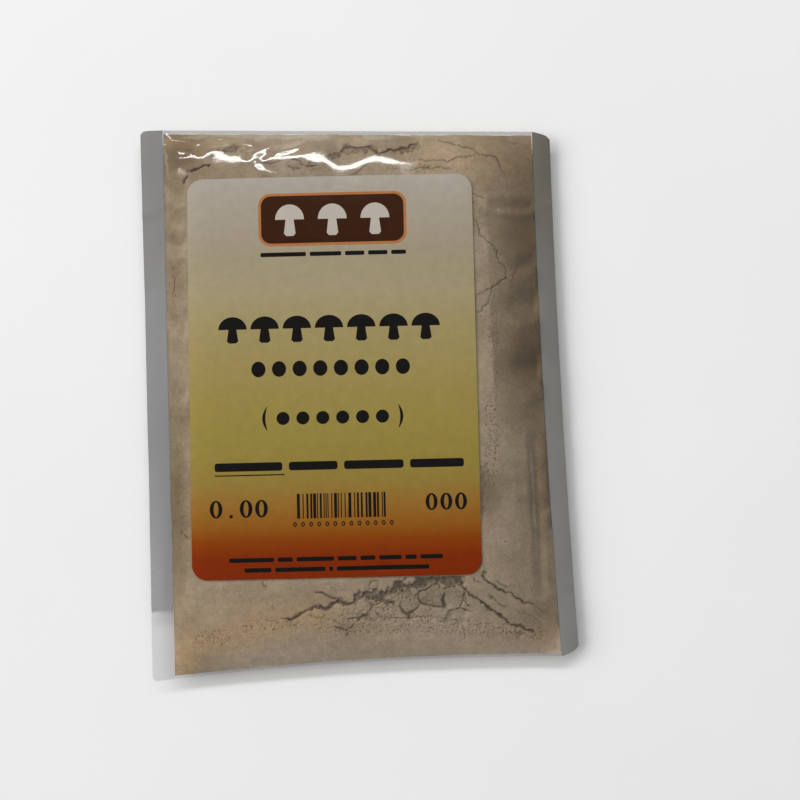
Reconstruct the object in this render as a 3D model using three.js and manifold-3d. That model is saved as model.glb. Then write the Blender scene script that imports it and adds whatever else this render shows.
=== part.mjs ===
// A flat clear-film pouch of shiitake mushroom powder, lying on its back with its label up.
//
// Two panels of film hold the powder. They are welded to each other along both sides and the top,
// and joined by a fold along the bottom. A printed label is stuck on the front panel.
// Units are millimetres. +X is to the label's right, +Y towards the pouch's top edge and +Z up.
// The origin is on the surface that the pouch lies on, under the middle of its outline.
import * as THREE from "three";
import { mergeVertices } from "three/addons/utils/BufferGeometryUtils.js";
import Module from "manifold-3d";

// Film and label stock
const FILM = 0.1; // one panel of film
const WELD = 0.2; // two panels welded into one
const LABEL = 0.15; // face paper with its adhesive
const AIR = 0.06; // left between layers that touch
const BUTT = 0.1; // left between edges that meet

// Heights above the table
const SEAM_Z = 4; // the welded rim
const CROWN = 6.4; // the front panel's rise from the rim
const BELLY = SEAM_Z - AIR / 2 - FILM; // the back panel's drop from the rim
const FLANGE_DROOP = 0.6; // how far a side weld's outer edge hangs below the rim

// The label's place and size
const LABEL_WIDTH = 75;
const LABEL_HEIGHT = 105;
const LABEL_CORNER = 4;
const LABEL_CENTRE = { x: -5.95, y: 5.75 };

// The front panel's shoulders: the higher the power, the sharper the shoulder at that edge
const SHOULDER = { left: 14, right: 7, top: 12, bottom: 9 };
const DOME = 0.12; // the share of the rise that is a broad dome, and not shoulder

// The back panel is flat out to these shares of its half width and half height
const FLAT = { across: 0.8, along: 0.88 };
const BELLY_POWER = 2.5;

// The pouch's outline. s runs from -1 at the left weld to 1 at the right one, and t from the fold to the top.
const PANEL_LEFT = (t) => -49.9 - 0.7 * t;
const PANEL_RIGHT = (t) => 49.4 - 1.85 * t + 0.85 * t * t;
const PANEL_TOP = (s) => 70.85 - 1.35 * s;
const PANEL_BOTTOM = (s) => -68.55 + 1.75 * s - 1.5 * s * s;
const OUTER_LEFT = (t) => -55.6 - 0.85 * t - 0.25 * t * t;
const OUTER_RIGHT = (t) => 54.2 - 1.75 * t + 0.75 * t * t;
const WELD_TOP = (s) => 71.7 - 1.35 * s; // the outer edge of the top weld
const FOLD_DEPTH = 0.6; // how far the bottom fold stands beyond the panels
// How high or low each corner of the side welds reaches
const CORNER = { topLeft: 73.1, bottomLeft: -73.1, topRight: 69.1, bottomRight: -67.2 };

// Mesh density
const CELLS = { across: 18, along: 22 };
const EDGE_BIAS = 1.7; // over 1 puts more of the cells near the rim

const mix = (a, b, share) => a + (b - a) * share;

// Points from -1 to 1, closer together towards both ends.
function spaced(cells) {
  const points = [];
  for (let i = 0; i <= cells; i++) {
    const v = (2 * i) / cells - 1;
    points.push(Math.sign(v) * (1 - (1 - Math.abs(v)) ** EDGE_BIAS));
  }
  return points;
}

// Where (s, t) lies in plan.
function inPlan(s, t) {
  return {
    x: mix(PANEL_LEFT(t), PANEL_RIGHT(t), (s + 1) / 2),
    y: mix(PANEL_BOTTOM(s), PANEL_TOP(s), (t + 1) / 2),
  };
}

const shoulder = (v, power) => 1 - DOME * v * v - (1 - DOME) * Math.abs(v) ** power;

// The front panel's rise at (s, t), from 0 at the rim to 1 in the middle.
function rise(s, t) {
  const across = shoulder(s, s < 0 ? SHOULDER.left : SHOULDER.right);
  const along = shoulder(t, t < 0 ? SHOULDER.bottom : SHOULDER.top);
  return Math.max(0, across * along);
}

// The back panel's drop at (s, t), from 0 at the rim to 1 on the flat.
function drop(s, t) {
  const bend = (v, flat) => 1 - Math.max(0, (Math.abs(v) - flat) / (1 - flat)) ** BELLY_POWER;
  return Math.max(0, bend(s, FLAT.across) * bend(t, FLAT.along));
}

const frontInside = (s, t) => SEAM_Z + AIR / 2 + CROWN * rise(s, t);
const backInside = (s, t) => SEAM_Z - AIR / 2 - BELLY * drop(s, t);

// A closed solid between two height functions over a grid. place(u, v) gives the plan point.
function slab(us, vs, place, low, high) {
  const columns = us.length;
  const rows = vs.length;
  const layer = columns * rows;
  const positions = [];
  for (const height of [low, high]) {
    for (const v of vs) {
      for (const u of us) {
        const { x, y } = place(u, v);
        positions.push(x, y, height(u, v));
      }
    }
  }
  const index = [];
  const quad = (a, b, c, d) => index.push(a, b, c, a, c, d);
  for (let j = 0; j + 1 < rows; j++) {
    for (let i = 0; i + 1 < columns; i++) {
      const a = j * columns + i;
      const d = a + columns;
      quad(a, d, d + 1, a + 1);
      quad(layer + a, layer + a + 1, layer + d + 1, layer + d);
    }
  }
  const wall = (a, b) => quad(a, b, layer + b, layer + a);
  for (let i = 0; i + 1 < columns; i++) {
    wall(i, i + 1);
    wall((rows - 1) * columns + i + 1, (rows - 1) * columns + i);
  }
  for (let j = 0; j + 1 < rows; j++) {
    wall((j + 1) * columns, j * columns);
    wall(j * columns + columns - 1, (j + 1) * columns + columns - 1);
  }
  const geometry = new THREE.BufferGeometry();
  geometry.setAttribute("position", new THREE.Float32BufferAttribute(positions, 3));
  geometry.setIndex(index);
  geometry.computeVertexNormals();
  return geometry;
}

const ACROSS = spaced(CELLS.across);
const ALONG = spaced(CELLS.along);

const frontPanel = () =>
  slab(ACROSS, ALONG, inPlan, frontInside, (s, t) => frontInside(s, t) + FILM);

const backPanel = () =>
  slab(ACROSS, ALONG, inPlan, (s, t) => backInside(s, t) - FILM, backInside);

// The powder fills the pouch to within one cell of the rim.
function powderBody() {
  const low = (s, t) => backInside(s, t) + AIR;
  const high = (s, t) => frontInside(s, t) - AIR;
  return slab(ACROSS.slice(1, -1), ALONG.slice(1, -1), inPlan, low, high);
}

// A side weld runs the whole height of the pouch. u is 0 at the panels and 1 at the outer edge.
function sideWeld(side) {
  const left = side < 0;
  const inner = left ? PANEL_LEFT : PANEL_RIGHT;
  const outer = left ? OUTER_LEFT : OUTER_RIGHT;
  const outerTop = left ? CORNER.topLeft : CORNER.topRight;
  const outerBottom = left ? CORNER.bottomLeft : CORNER.bottomRight;
  const innerTop = WELD_TOP(side);
  const innerBottom = PANEL_BOTTOM(side) - FOLD_DEPTH;
  const place = (u, t) => ({
    x: mix(inner(t) + side * BUTT, outer(t), u),
    y: mix(mix(innerBottom, innerTop, (t + 1) / 2), mix(outerBottom, outerTop, (t + 1) / 2), u),
  });
  const middle = (u) => SEAM_Z - FLANGE_DROOP * u * u;
  const low = (u) => middle(u) - WELD / 2;
  const high = (u) => middle(u) + WELD / 2;
  const us = left ? [1, 0.5, 0] : [0, 0.5, 1];
  return slab(us, ALONG, place, low, high);
}

// A strip between the side welds, from the panels' edge out to the pouch's edge. v is 0 at the panels.
function endStrip(edge, outer, direction, thickness) {
  const place = (s, v) => {
    const x = mix(PANEL_LEFT(direction) + BUTT, PANEL_RIGHT(direction) - BUTT, (s + 1) / 2);
    return { x, y: mix(edge(s) + direction * BUTT, outer(s), v) };
  };
  const low = () => SEAM_Z - thickness / 2;
  const high = () => SEAM_Z + thickness / 2;
  const vs = direction > 0 ? [0, 1] : [1, 0];
  return slab(ACROSS, vs, place, low, high);
}

const topWeld = () => endStrip(PANEL_TOP, WELD_TOP, 1, WELD);

const bottomFold = () =>
  endStrip(PANEL_BOTTOM, (s) => PANEL_BOTTOM(s) - FOLD_DEPTH, -1, WELD + AIR);

// The label's outline: a rectangle with round corners.
function labelOutline() {
  const halfWidth = LABEL_WIDTH / 2;
  const halfHeight = LABEL_HEIGHT / 2;
  const r = LABEL_CORNER;
  const shape = new THREE.Shape();
  const corners = [
    [halfWidth - r, halfHeight - r, 0],
    [r - halfWidth, halfHeight - r, Math.PI / 2],
    [r - halfWidth, r - halfHeight, Math.PI],
    [halfWidth - r, r - halfHeight, (3 * Math.PI) / 2],
  ];
  for (const [x, y, from] of corners) {
    shape.absarc(LABEL_CENTRE.x + x, LABEL_CENTRE.y + y, r, from, from + Math.PI / 2);
  }
  return shape;
}

// The label is the layer of stock on the front panel that lies inside its outline.
async function label() {
  const wasm = await Module();
  wasm.setup();
  const solid = (geometry) => {
    const bare = geometry.clone();
    bare.deleteAttribute("normal");
    bare.deleteAttribute("uv");
    const merged = mergeVertices(bare);
    const vertProperties = merged.attributes.position.array;
    const triVerts = new Uint32Array(merged.index.array);
    return new wasm.Manifold(new wasm.Mesh({ numProp: 3, vertProperties, triVerts }));
  };
  const under = (s, t) => frontInside(s, t) + FILM + AIR;
  const stock = slab(ACROSS, ALONG, inPlan, under, (s, t) => under(s, t) + LABEL);
  const cutter = new THREE.ExtrudeGeometry(labelOutline(), {
    depth: 2 * (SEAM_Z + CROWN),
    bevelEnabled: false,
    curveSegments: 5,
  });
  const cut = solid(stock).intersect(solid(cutter)).getMesh();
  const geometry = new THREE.BufferGeometry();
  geometry.setAttribute("position", new THREE.BufferAttribute(cut.vertProperties, 3));
  geometry.setIndex(new THREE.BufferAttribute(cut.triVerts, 1));
  geometry.computeVertexNormals();
  return geometry;
}

const clearFilm = new THREE.MeshStandardMaterial({
  color: 0xc9c9c4,
  roughness: 0.12,
  metalness: 0,
  transparent: true,
  opacity: 0.3,
});
const weldedFilm = new THREE.MeshStandardMaterial({
  color: 0xa9a9a6,
  roughness: 0.2,
  metalness: 0,
  transparent: true,
  opacity: 0.55,
});
const powder = new THREE.MeshStandardMaterial({ color: 0x9a8870, roughness: 0.95, metalness: 0 });
const labelStock = new THREE.MeshStandardMaterial({ color: 0xa09163, roughness: 0.35, metalness: 0 });

const pouch = new THREE.Group();
const add = (name, geometry, material) => {
  const mesh = new THREE.Mesh(geometry, material);
  mesh.name = name;
  pouch.add(mesh);
};
add("mushroom_powder", powderBody(), powder);
add("front_film", frontPanel(), clearFilm);
add("back_film", backPanel(), clearFilm);
add("left_side_seal", sideWeld(-1), weldedFilm);
add("right_side_seal", sideWeld(1), weldedFilm);
add("top_seal", topWeld(), weldedFilm);
add("bottom_fold", bottomFold(), clearFilm);
add("label", await label(), labelStock);

export default pouch;
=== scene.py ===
# A sealed clear film pouch of mushroom powder, lying on its back with its label up.
#
# +X is to the label's right, +Y towards the pouch's top weld and +Z up. Shapes are worked out in
# millimetres over the plan, as arrays, and become metres when a mesh is made.
import math

import bpy
import numpy as np
from mathutils import Matrix, Vector
from mathutils.geometry import delaunay_2d_cdt


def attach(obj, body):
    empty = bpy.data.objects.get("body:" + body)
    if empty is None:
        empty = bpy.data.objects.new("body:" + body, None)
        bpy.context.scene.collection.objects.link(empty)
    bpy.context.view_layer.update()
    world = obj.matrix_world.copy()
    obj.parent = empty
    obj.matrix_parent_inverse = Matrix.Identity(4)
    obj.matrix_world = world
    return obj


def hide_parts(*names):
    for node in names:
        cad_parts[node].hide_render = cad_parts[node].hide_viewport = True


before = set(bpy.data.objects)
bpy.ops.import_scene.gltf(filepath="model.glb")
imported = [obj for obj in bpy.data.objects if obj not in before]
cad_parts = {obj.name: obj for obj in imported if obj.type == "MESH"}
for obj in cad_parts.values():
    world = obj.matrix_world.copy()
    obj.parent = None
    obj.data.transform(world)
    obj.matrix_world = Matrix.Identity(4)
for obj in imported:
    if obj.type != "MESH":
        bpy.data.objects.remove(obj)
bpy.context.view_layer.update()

MM = 0.001

# ---------- The pouch's sizes in millimetres, as the solids have them ----------
FILM = 0.1  # one panel of film
WELD = 0.2  # two panels welded into one
LABEL = 0.15  # face paper with its adhesive
AIR = 0.06  # left between layers that touch
BUTT = 0.02  # left between edges that meet, which is closer than the solids have it

SEAM_Z = 4.0  # the welded rim's height
CROWN = 6.4  # the front panel's rise from the rim
BELLY = SEAM_Z - AIR / 2 - FILM  # the back panel's drop from the rim
FLANGE_DROOP = 0.6  # how far a side weld's outer edge hangs below the rim

LABEL_WIDTH, LABEL_HEIGHT = 75.0, 105.0
LABEL_CORNER = 4.0
LABEL_CENTRE = (-5.95, 5.75)
LABEL_LEFT = LABEL_CENTRE[0] - LABEL_WIDTH / 2
LABEL_TOP = LABEL_CENTRE[1] + LABEL_HEIGHT / 2

# The front panel's shoulders: the higher the power, the sharper the shoulder at that edge
SHOULDER = {"left": 14, "right": 7, "top": 12, "bottom": 9}
DOME = 0.12  # the share of the rise that is a broad dome, and not shoulder

# The back panel is flat out to these shares of its half width and half height
FLAT = {"across": 0.8, "along": 0.88}
BELLY_POWER = 2.5

FOLD_DEPTH = 0.6  # how far the bottom fold stands beyond the panels
FLANGE_END = {"left": (-73.1, 73.1), "right": (-67.2, 69.1)}  # how low and high its outer edge is
HALF_WIDTH, HALF_HEIGHT = 50, 70  # about half of the panels' size: one unit of s and of t


# The pouch's outline. s runs from -1 at the left weld to 1 at the right one, and t from -1 at the
# bottom fold to 1 at the top weld.
def panel_left(t):
    return -49.9 - 0.7 * t


def panel_right(t):
    return 49.4 - 1.85 * t + 0.85 * t * t


def panel_top(s):
    return 70.85 - 1.35 * s


def panel_bottom(s):
    return -68.55 + 1.75 * s - 1.5 * s * s


def outer_left(t):
    return -55.6 - 0.85 * t - 0.25 * t * t


def outer_right(t):
    return 54.2 - 1.75 * t + 0.75 * t * t


def weld_top(s):
    return 71.7 - 1.35 * s


def fold_edge(s):
    return panel_bottom(s) - FOLD_DEPTH


def mix(a, b, share):
    """The value that lies this share of the way from a to b."""
    return a + (b - a) * share


def step(value, start, end):
    """0 up to start and 1 from end on, with a smooth turn between them."""
    share = np.clip((value - start) / (end - start), 0, 1)
    return share * share * (3 - 2 * share)


def in_plan(s, t):
    """Where (s, t) lies in plan."""
    return (
        mix(panel_left(t), panel_right(t), (s + 1) / 2),
        mix(panel_bottom(s), panel_top(s), (t + 1) / 2),
    )


def in_panel(x, y):
    """The (s, t) of a plan point."""
    s, t = x / HALF_WIDTH, y / HALF_HEIGHT
    for _ in range(6):
        s = 2 * (x - panel_left(t)) / (panel_right(t) - panel_left(t)) - 1
        t = 2 * (y - panel_bottom(s)) / (panel_top(s) - panel_bottom(s)) - 1
    return s, t


# ---------- Fields over the plan ----------
LATTICE = 256  # after this many lumps each way the noise starts again


def noise(x, y, size, seed):
    """Smooth noise from -1 to 1 whose lumps are about size across."""
    lattice = np.random.default_rng(seed).uniform(-1, 1, (LATTICE, LATTICE))
    u, v = (0.8 * x + 0.6 * y) / size, (0.8 * y - 0.6 * x) / size
    i, j = np.floor(u).astype(int), np.floor(v).astype(int)
    fu, fv = step(u - i, 0, 1), step(v - j, 0, 1)
    rows = []
    for dj in (0, 1):
        start, end = (lattice[(i + di) % LATTICE, (j + dj) % LATTICE] for di in (0, 1))
        rows.append(mix(start, end, fu))
    return mix(rows[0], rows[1], fv)


# Slow and fine unevenness: each kind's height and length in millimetres, and its seed
WAVES = {
    "broad": (0.16, 17, 11), "small": (0.1, 7, 12), "ripple": (0.015, 3.2, 13), "grain": (0.02, 0.8, 44),
    "long flange": (0.3, 14, 71), "short flange": (0.12, 5, 72), "end strip": (0.12, 9, 73),
    "rim": (0.07, 6, 51), "short rim": (0.05, 1.8, 52), "pale strip": (0.3, 4, 53),
}


def waves(x, y, kind):
    """The height of one kind of unevenness at each plan point."""
    height, size, seed = WAVES[kind]
    return height * noise(x, y, size, seed)


def plates(x, y, size, seed):
    """Irregular plates about size across: how far each point is from its plate's edge, and the
    plate's own height there, from about -1 to 1, on a random tilt."""
    random = np.random.default_rng(seed)
    middle = random.uniform(0.05, 0.95, (LATTICE, LATTICE, 2))
    own = random.uniform(-1, 1, (LATTICE, LATTICE, 3))
    u = (x + 0.3 * size * noise(x, y, 0.7 * size, seed + 1)) / size
    v = (y + 0.3 * size * noise(x, y, 0.7 * size, seed + 2)) / size
    i, j = np.floor(u).astype(int), np.floor(v).astype(int)
    first = np.full(np.shape(x), 9.0)  # the gaps to the two nearest middles, in plates
    second = first.copy()
    lift = np.zeros(np.shape(x))
    for di in (-1, 0, 1):
        for dj in (-1, 0, 1):
            cell = (i + di) % LATTICE, (j + dj) % LATTICE
            dx, dy = u - i - di - middle[cell][..., 0], v - j - dj - middle[cell][..., 1]
            gap = np.hypot(dx, dy)
            height = 0.6 * own[cell][..., 0] + own[cell][..., 1] * dx + own[cell][..., 2] * dy
            second = np.where(gap < first, first, np.minimum(second, gap))
            lift = np.where(gap < first, height, lift)
            first = np.minimum(first, gap)
    return (second - first) * size / 2, lift


def patch(x, y, middle, reach):
    """1 at the middle of a soft oval patch and 0 well outside it."""
    return np.exp(-(((x - middle[0]) / reach[0]) ** 2) - ((y - middle[1]) / reach[1]) ** 2)


def trail(x, y, stops):
    """Each point's distance from a line through the stops, and how far along the line, from 0 to 1,
    its nearest place is."""
    stops = np.array(stops, float)
    lengths = np.hypot(*(stops[1:] - stops[:-1]).T)
    starts = np.concatenate([[0], np.cumsum(lengths)])
    best = np.full(np.shape(x), 1e3)
    along = np.zeros(np.shape(x))
    for (ax, ay), (bx, by), length, start in zip(stops[:-1], stops[1:], lengths, starts):
        share = np.clip(((x - ax) * (bx - ax) + (y - ay) * (by - ay)) / length**2, 0, 1)
        away = np.hypot(x - mix(ax, bx, share), y - mix(ay, by, share))
        nearer = away < best
        best = np.where(nearer, away, best)
        along = np.where(nearer, (start + share * length) / starts[-1], along)
    return best, along


def under_label(x, y, margin):
    """1 under the label and 0 further than margin outside it."""
    across = np.abs(x - LABEL_CENTRE[0]) - LABEL_WIDTH / 2
    along = np.abs(y - LABEL_CENTRE[1]) - LABEL_HEIGHT / 2
    return 1 - step(np.maximum(across, along), 0, margin)


# ---------- The front panel's surface ----------
# The crest along which the front panel turns down to the top weld, from left to right, and how taut
# the film is along it: taut film is flatter there, and slack film (below zero) bends more sharply.
CREST = [(-52, 64.8), (-41, 64.2), (-31, 63.3), (-20, 63.6), (-12, 64.2),
         (-7.8, 64.2), (-2.8, 60.9), (6.5, 63.8), (17, 61.4), (30, 63.2), (52, 63.0)]
CREST_TAUT = [(-52, -1.5), (-43.8, -1.5), (-41, 0.45), (-36, 0.4), (-29, -0.1), (-21, -0.4),
              (-13.5, -0.3), (-8, 0.85), (-3, 0), (8, 0.35), (16, -0.6), (19, -1.2), (52, -1.2)]
CREST_LEVEL = 63.3  # where the crest would lie on an even panel
CREST_REACH = (48, 70.8)  # the panel follows the crest's waves only between these heights
CREST_SAG = 0.1  # how far film of tautness 1 lies below the even panel along the crest
TAUT_REACH, SLACK_REACH = 2.0, 0.9  # how far to each side it does so

# Folds in the film: the line that each follows, its half width, and how high it stands. One below
# zero is a dent. The folds along the top are in the film alone. Those beside the welds, and the long
# channel at the lower right, press into the powder too.
TOP_FOLDS = [
    ([(-22.2, 73), (-23.2, 69.5), (-24.6, 67), (-25.9, 65), (-26.5, 63.2), (-26.3, 61.5),
      (-25.2, 60.3)], 1.6, 0.45),
    ([(-26.5, 62.5), (-25.6, 60.6), (-23.5, 59.5), (-21, 58.7), (-18, 57.6)], 1.3, 0.19),
    ([(-23, 63.9), (-22.4, 65.2), (-21.6, 66.8)], 0.6, -0.2),
    ([(-20.8, 66.4), (-16.2, 67.5), (-12.2, 68.9)], 0.75, -0.24),
    ([(-19.5, 65.6), (-16.5, 66.2), (-13.4, 67.2)], 0.8, 0.15),
    ([(-51, 70), (-46.5, 68.8), (-42, 68)], 1.0, -0.47),
    ([(-40.4, 66.6), (-37.4, 69.6)], 1.2, -0.56),
    ([(-37.2, 68.5), (-33, 69)], 1.0, -0.66),
    ([(-29, 67.8), (-27.4, 66.8), (-25.6, 67)], 0.9, -0.43),
]
SEAM_FOLDS = [
    ([(-50, 57.5), (-46, 55), (-43.5, 52.5)], 1.7, -0.9),
    ([(-50.5, 48), (-47, 50), (-44, 52.5)], 1.3, 0.5),
    ([(-50, 43), (-46.5, 41.2), (-44, 40.5)], 1.6, -1.3),
    ([(-50, 22.5), (-46.5, 20.5), (-43.5, 18)], 1.8, -1.3),
    ([(-50, 2), (-47, 1), (-44, 1.5)], 2.2, -0.9),
    ([(-50, -22), (-47, -24), (-45, -28)], 1.8, -0.4),
    ([(-50, -33), (-47, -34.5), (-44.5, -34)], 2.0, -0.5),
    ([(48.5, 50), (44, 49.5), (38, 49.8)], 1.2, -0.5),
    ([(48.8, 47.8), (44, 47.5), (39, 47.6)], 1.0, 0.3),
    ([(48.5, 36), (45.5, 34.5), (43, 33)], 1.5, -0.5),
    ([(49, 24), (45, 23.5), (39.5, 23)], 3.0, -1.1),
    ([(49, 19), (46, 18), (42.5, 17)], 1.2, 0.35),
    ([(49.5, 7), (45, 6.5), (40.5, 5.5)], 3.0, -1.1),
    ([(49.5, 2), (46.5, 0), (43.5, -4)], 1.6, 0.4),
    ([(50.5, -30), (47, -31), (44, -30)], 1.8, -0.3),
]
CHANNEL = ([(46.2, -12), (46.8, -32), (47.2, -52)], 1.1, -0.55)
DEEP_DENT_RIM, FILM_DENT_RIM = 0.45, 0.1  # how high the rims are beside a powder dent and a film dent


def fold_height(x, y, fold, rim):
    """A fold's own height, fading out at its ends. rim is the height of the low rims beside a dent, as
    a share of its depth."""
    stops, half_width, height = fold
    away, along = trail(x, y, stops)
    profile = np.exp(-((away / half_width) ** 2))
    if height < 0:
        profile = profile - rim * np.exp(-(((away - 2.1 * half_width) / half_width) ** 2))
    return height * profile * step(along, -0.25, 0.2) * (1 - step(along, 0.7, 1.25))


def shoulder(v, power):
    """The front panel's rise across one direction, from 1 in the middle to 0 at the edge."""
    return 1 - DOME * v * v - (1 - DOME) * np.abs(v) ** power


def curve_through(x, stops):
    """The height at each x of a smooth curve through the stops, level at each of them."""
    where, heights = np.array(stops, float).T
    k = np.clip(np.searchsorted(where, x) - 1, 0, len(where) - 2)
    return mix(heights[k], heights[k + 1], step(x, where[k], where[k + 1]))


def inside_rim(s, t, unit):
    """How far a point is inside the rim, where unit is how long one unit of s and t is taken to be."""
    return np.minimum(1 - np.abs(s), 1 - np.abs(t)) * unit


def pressed_height(x, y):
    """The front panel where the powder presses it out, before the loose film folds."""
    crest = curve_through(x, CREST)
    low_end, high_end = CREST_REACH
    above_crest = np.clip((y - crest) / (high_end - crest), 0, 1)
    near_crest = step(y, low_end, crest - 1.2) * (1 - above_crest**3)
    s, t = in_panel(x, y - near_crest * (crest - CREST_LEVEL))
    s, t = np.clip(s, -1, 1), np.clip(t, -1, 1)
    across = shoulder(s, np.where(s < 0, SHOULDER["left"], SHOULDER["right"]))
    along = shoulder(t, np.where(t < 0, SHOULDER["bottom"], SHOULDER["top"]))
    height = SEAM_Z + AIR / 2 + CROWN * np.maximum(0, across * along)
    taut = curve_through(x, CREST_TAUT)
    reach = np.where(taut > 0, TAUT_REACH, SLACK_REACH)
    height -= CREST_SAG * taut * np.exp(-(((y - crest) / reach) ** 2))
    edge = inside_rim(s, t, HALF_WIDTH)
    loose = step(edge, 0, 3.5) * (1 - 0.75 * step(y, 54, 60))
    height += loose * (waves(x, y, "broad") + waves(x, y, "small") * (1 - under_label(x, y, 3)))
    seam = sum(fold_height(x, y, fold, DEEP_DENT_RIM) for fold in SEAM_FOLDS + [CHANNEL])
    height += step(edge, 0, 1.6) * seam * (1 - under_label(x, y, 1.5))
    return height


def film_height(x, y):
    """The inside of the front film: the pressed surface with the loose folds above it."""
    s, t = in_panel(x, y)
    folds = sum(fold_height(x, y, fold, FILM_DENT_RIM) for fold in TOP_FOLDS)
    ripple = waves(x, y, "ripple") * step(y, 56, 62)
    shown = step(inside_rim(s, t, (HALF_WIDTH + HALF_HEIGHT) / 2), 0, 1.5)
    return pressed_height(x, y) + shown * (folds + ripple) * (1 - under_label(x, y, 1.2))


def bend(v, flat):
    """1 on the back panel's flat part, and down to 0 at its edge."""
    return 1 - np.maximum(0, (np.minimum(np.abs(v), 1) - flat) / (1 - flat)) ** BELLY_POWER


def back_height(x, y):
    """The inside of the back film: flat where it lies, and up to the rim round its edge."""
    s, t = in_panel(x, y)
    drop = np.maximum(0, bend(s, FLAT["across"]) * bend(t, FLAT["along"]))
    wavy = 0.22 * (1 + noise(x, y, 5, 21)) * step(1 - drop, 0, 0.3) * step(drop, 0, 0.3)
    return SEAM_Z - AIR / 2 - BELLY * drop + wavy


# ---------- The powder's surface ----------
# Cracks in the powder: the line that each follows, its half width and its depth.
CRACKS = [
    ([(-45.1, 57.5), (-43.6, 59.3), (-42.7, 61)], 0.14, 0.4),
    ([(-42.7, 61), (-39.1, 62), (-36.9, 62.6)], 0.35, 0.7),
    ([(-23.8, 62.6), (-21.4, 62.6), (-18.4, 63.1)], 0.13, 0.3),
    ([(-16.5, 63.4), (-13.9, 62.8), (-12.9, 61.6), (-10.6, 61), (-8.4, 61.5)], 0.2, 0.5),
    ([(-16.6, 61.5), (-14.4, 60)], 0.2, 0.4),
    ([(-4.8, 64), (-2.4, 66.3), (-0.5, 66.7), (4.2, 66.5), (6.1, 65.3), (7.2, 64.7), (10, 65.6),
      (11.5, 65.4), (13.9, 66.1), (15.4, 67.1), (17.8, 67.6)], 0.24, 0.7),
    ([(21.7, 68.9), (26.7, 67.2), (29.4, 66.1), (32.1, 65.5), (33.7, 63.5), (38.2, 63.2), (39.1, 61),
      (40.8, 57.8)], 0.15, 0.35),
    ([(16.1, 62.3), (19.2, 62.3), (23.1, 62.4), (25.4, 61.3), (27.7, 62.3), (31.6, 63.3),
      (33.6, 63.5)], 0.14, 0.35),
    ([(-0.7, 58.2), (1.3, 58.8), (3.7, 61.1), (4.8, 61.8)], 0.12, 0.25),
    ([(11, 59.5), (12.9, 60.1), (16, 60), (19.1, 60.1), (23, 60), (27.6, 59.5)], 0.13, 0.3),
    ([(40.6, 67.3), (45.3, 67.1)], 0.12, 0.2),
    ([(31.3, 53), (32.9, 52.1), (35.2, 51.3)], 0.13, 0.25),
    ([(31.4, 47.5), (32.3, 45.5), (33.7, 41.2), (36.4, 39.2), (38.2, 36), (40, 33.2), (40.3, 30.1),
      (36.2, 27.9), (34, 26.5), (31.8, 25.2)], 0.13, 0.35),
    ([(36.5, 29.5), (36, 26.3), (34.8, 23.2), (31.8, 20.8)], 0.12, 0.3),
    ([(43.5, 33.6), (42.3, 31.3), (41.4, 27.8)], 0.11, 0.2),
    ([(-47.6, 34), (-47.3, 32.2), (-48.1, 27.7)], 0.13, 0.3),
    ([(-46.4, -33.5), (-45, -35.2), (-43.9, -35.8)], 0.18, 0.4),
    ([(31.7, -46), (32.4, -48.3), (34.4, -49.6)], 0.3, 0.6),
    ([(32.4, -48.3), (34.4, -49.6), (36.4, -50.9), (38.4, -51.9), (40.4, -53.5), (42.4, -54.8),
      (45, -55.4)], 0.24, 0.6),
    ([(35, -48.8), (37, -49.4), (38.7, -50.4)], 0.13, 0.3),
    ([(29.4, -47.4), (31.6, -49.3)], 0.16, 0.3),
    ([(33.3, -52.1), (35.3, -53.9), (38.1, -55.7)], 0.16, 0.4),
    ([(25.8, -48.6), (27, -50.7), (28, -52), (30.7, -53.3), (32.2, -55.1)], 0.24, 0.6),
    ([(30.7, -53.3), (32.2, -55.1), (34.2, -55.9), (36, -57.2), (37.2, -58.5), (38.5, -60.1)], 0.36, 0.8),
    ([(38.2, -59.8), (40.2, -60.8), (42.6, -60.9), (45.2, -62.2)], 0.34, 0.7),
    ([(27.2, -52.2), (27.7, -54), (28.4, -55.5)], 0.2, 0.5),
    ([(25.3, -58.2), (25.7, -59.8), (26.4, -61.8), (26.9, -64.1)], 0.13, 0.3),
    ([(40.9, -56.8), (43.4, -57.6), (46.4, -59.5)], 0.11, 0.2),
    ([(44.2, -55.1), (47.5, -57.2)], 0.11, 0.2),
    ([(-0.9, -53.3), (-3, -53.8), (-5.5, -53.2), (-7.1, -53.4), (-8.6, -54.4), (-11.2, -54.6)], 0.4, 0.8),
    ([(-8.6, -54.4), (-11.2, -54.6), (-13.2, -55.1), (-14.8, -56), (-15.8, -56.8), (-20.4, -56.9)], 0.3, 0.6),
    ([(-11.6, -50.5), (-9.6, -50.8), (-7.5, -51.6), (-6.5, -52.2), (-4.5, -52.7)], 0.19, 0.5),
    ([(-13.3, -56.6), (-11.2, -57.4), (-9.2, -55.9)], 0.13, 0.3),
    ([(-6.7, -59.8), (-3.9, -60.6), (-1.6, -58.6)], 0.2, 0.5),
    ([(-3.9, -60.6), (-3.7, -62.4)], 0.2, 0.4),
    ([(2.2, -49.8), (2.2, -49.1), (3.3, -48.1), (5.3, -48.1)], 0.14, 0.3),
    ([(3.6, -55.4), (5.1, -57.3), (7.2, -57.3)], 0.15, 0.4),
    ([(5.1, -57.3), (9.2, -57.6), (15.3, -57.7), (18.9, -57.6), (22.5, -57.9), (26.5, -58.3)], 0.16, 0.4),
    ([(21.1, -50.5), (22.7, -49.6), (25.7, -49.1)], 0.22, 0.5),
    ([(15.7, -53.4), (17.4, -54.5), (18.4, -56)], 0.15, 0.4),
    ([(-25, -47.2), (-24.2, -49.6)], 0.16, 0.3),
]
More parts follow.
